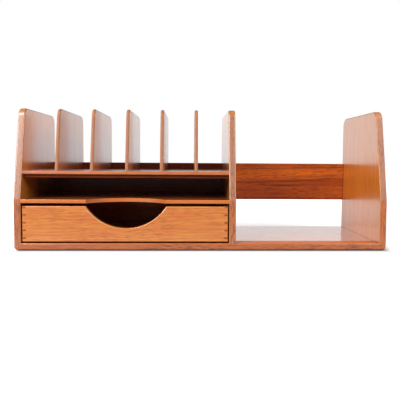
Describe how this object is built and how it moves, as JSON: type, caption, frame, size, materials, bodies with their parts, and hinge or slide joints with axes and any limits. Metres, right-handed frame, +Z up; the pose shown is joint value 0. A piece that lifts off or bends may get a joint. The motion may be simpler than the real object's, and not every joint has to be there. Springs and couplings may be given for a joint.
{
  "type": "envelope sorter with drawer",
  "caption": "Low teak desk organizer with upright letter slots over a flat paper tray and a dovetailed drawer with a finger scoop, beside an open bay for books.",
  "frame": {"origin": "middle of the underside, on the surface that the sorter stands on", "axes": "+X to the right seen from the front, +Y from the front to the back, +Z up"},
  "size_m": [0.76, 0.26, 0.289],
  "materials": {
    "case_teak_upright": "oiled, satin",
    "case_teak_level": "oiled, satin",
    "rail_teak": "oiled, satin",
    "divider_teak": "oiled, satin",
    "drawer_front_teak": "oiled, satin",
    "drawer_side_teak": "oiled, satin",
    "drawer_bottom_veneer": "oiled, satin",
    "runner_wood": "waxed",
    "joint_beech": "plain, glued"
  },
  "bodies": {
    "case": {"base_board": "case_teak_level", "left_side": "case_teak_upright", "right_side": "case_teak_upright", "middle_partition": "case_teak_upright", "back_rail": "rail_teak", "lower_shelf": "case_teak_level", "upper_shelf": "case_teak_level", "upper_shelf_front_strip": "case_teak_level", "drawer_runner_left": "runner_wood", "drawer_runner_right": "runner_wood", "rail_dowels": "joint_beech", "mitre_splines": "joint_beech", "letter_divider_1": "divider_teak", "letter_divider_2": "divider_teak", "letter_divider_3": "divider_teak", "letter_divider_4": "divider_teak", "letter_divider_5": "divider_teak"},
    "drawer": {"drawer_front": "drawer_front_teak", "drawer_back": "drawer_side_teak", "drawer_left_side": "drawer_side_teak", "drawer_right_side": "drawer_side_teak", "drawer_bottom": "drawer_bottom_veneer"}
  },
  "joints": [
    {"name": "drawer_slide", "type": "slide", "parent": "case", "child": "drawer", "axis": [0, -1, 0], "range_m": [0, 0.185]}
  ]
}
